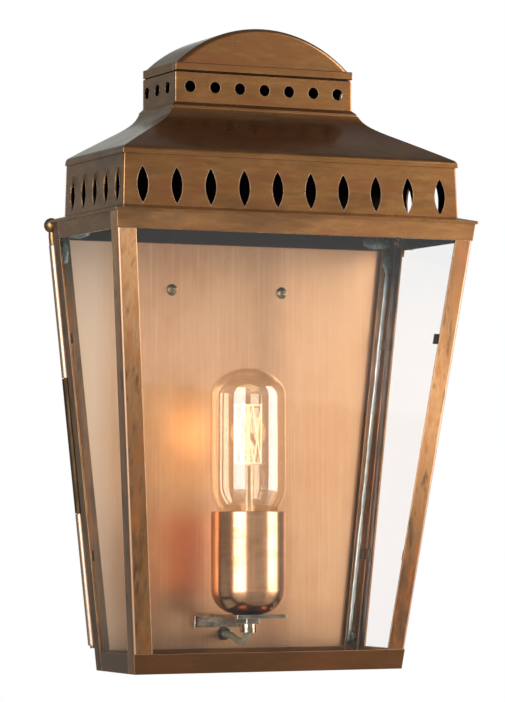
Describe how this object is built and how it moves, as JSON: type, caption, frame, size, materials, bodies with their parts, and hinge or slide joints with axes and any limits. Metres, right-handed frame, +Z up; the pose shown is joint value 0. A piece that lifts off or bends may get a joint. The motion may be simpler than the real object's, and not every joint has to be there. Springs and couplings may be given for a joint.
{
  "type": "wall lantern",
  "caption": "Half lantern for a wall: tapered glazed brass cage with pierced frieze, swept roof, vented collar and arched cap, hinged on a copper back plate that carries a tubular filament bulb",
  "frame": {"origin": "middle of the wall strap's two fixing holes, on the wall plane", "axes": "+Z up, +Y into the wall, +X to the right of someone facing the lantern"},
  "size_m": [0.2452, 0.1112, 0.382],
  "materials": {
    "copper_sheet": "brushed upright",
    "plated_steel": "zinc plated",
    "aged_screw": "aged",
    "bright_brass": "plain turned",
    "polished_copper": "polished",
    "phenolic": "moulded",
    "cable_sheath": "matt",
    "black_rubber": "matt",
    "amber_glass": "clear with a warm tint",
    "bulb_metal": "plain",
    "filament_wire": "drawn wire",
    "aged_brass": "aged and waxed",
    "window_glass": "clear",
    "dark_clip": "darkened",
    "aged_ball": "turned and aged"
  },
  "bodies": {
    "wall_unit": {"back_plate": "copper_sheet", "wall_strap": "plated_steel", "plate_screws": "aged_screw", "lamp_bracket": "copper_sheet", "holder_nipple": "bright_brass", "nipple_nut": "bright_brass", "holder_cup": "polished_copper", "holder_body": "phenolic", "screw_shell": "bright_brass", "centre_contact": "bright_brass", "supply_cable": "cable_sheath", "cable_grommet": "black_rubber"},
    "bulb": {"bulb_glass": "amber_glass", "bulb_cap": "bulb_metal", "cap_insulator": "phenolic", "cap_button": "bulb_metal", "bulb_stem": "amber_glass", "filament": "filament_wire"},
    "cage": {"front_post_left": "aged_brass", "front_post_right": "aged_brass", "rear_post_left": "aged_brass", "rear_post_right": "aged_brass", "top_rail_front": "aged_brass", "top_rail_left": "aged_brass", "top_rail_right": "aged_brass", "top_rail_rear": "aged_brass", "bottom_rail_front": "aged_brass", "bottom_rail_left": "aged_brass", "bottom_rail_right": "aged_brass", "bottom_rail_rear": "aged_brass", "pane_front": "window_glass", "pane_left": "window_glass", "pane_right": "window_glass", "glass_clips": "dark_clip", "cornice": "aged_brass", "vent_frieze": "aged_brass", "roof": "aged_brass", "roof_back": "aged_brass", "vent_collar": "aged_brass", "cap_vault": "aged_brass", "cap_front": "aged_brass", "cage_knuckle": "aged_brass", "closing_nut": "bright_brass"},
    "hinge_pin": {"hinge_pin": "aged_ball"},
    "closing_screw": {"thumb_screw": "aged_ball"}
  },
  "joints": [
    {"name": "cage_swing", "type": "hinge", "parent": "wall_unit", "child": "cage", "pos_m": [-0.09985, -0.0049, -0.0949], "axis": [0.1079, 0, -0.9942], "range_deg": [0, 85]},
    {"name": "pin_lift", "type": "slide", "parent": "cage", "child": "hinge_pin", "axis": [-0.1079, 0, 0.9942], "range_m": [0, 0.242]},
    {"name": "closing_turn", "type": "hinge", "parent": "cage", "child": "closing_screw", "pos_m": [0.12, -0.0151, 0.033], "axis": [1, 0, 0], "continuous": true},
    {"name": "bulb_turn", "type": "hinge", "parent": "wall_unit", "child": "bulb", "pos_m": [-0.0064, -0.0511, -0.1], "axis": [0, 0, 1], "continuous": true}
  ]
}
